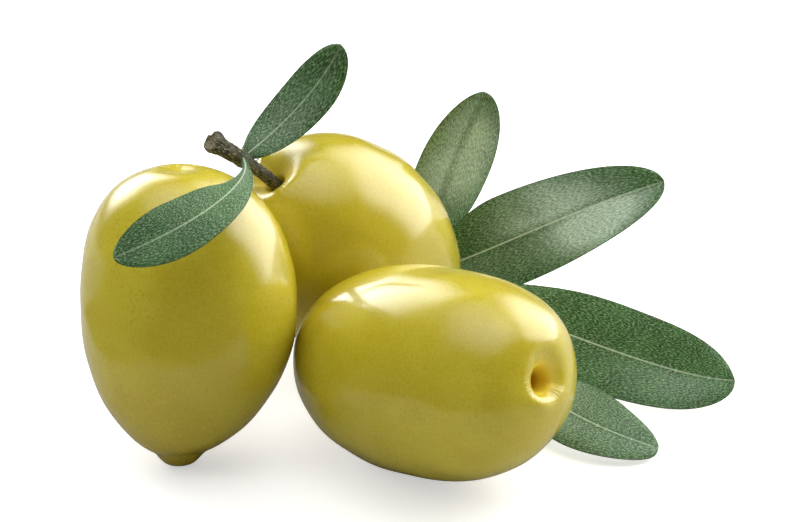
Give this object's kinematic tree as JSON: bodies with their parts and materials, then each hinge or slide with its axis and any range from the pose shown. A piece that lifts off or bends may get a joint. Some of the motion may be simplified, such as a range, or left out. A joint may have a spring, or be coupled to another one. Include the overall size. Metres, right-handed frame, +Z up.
{
  "type": "olive branch with fruit",
  "caption": "Cut olive branch lying at rest: green table olives grouped round a short woody twig with small leaves, and a low fan of long leaves behind.",
  "frame": {"origin": "the point where the lying olive touches the surface the group rests on", "axes": "+Z up from the surface, +X along the group's length towards the leaf tips, +Y away from the lying olive towards the branch"},
  "size_m": [0.0743, 0.0632, 0.0409],
  "materials": {
    "olive_skin": "smooth waxy green-yellow skin with a soft gloss",
    "bark": "dry grey-brown bark",
    "mature_leaf": "leathery dark grey-green with a soft sheen",
    "young_leaf": "leathery lighter grey-green with a soft sheen"
  },
  "bodies": {
    "root": {"olive_standing": "olive_skin", "olive_lying": "olive_skin", "olive_on_stalk": "olive_skin", "branch": "bark", "leaf_small_upper": "young_leaf", "leaf_small_lower": "young_leaf", "leaf_large_upright": "mature_leaf", "leaf_large_raised": "mature_leaf", "leaf_large_spreading": "mature_leaf", "leaf_large_low": "mature_leaf"}
  },
  "joints": []
}
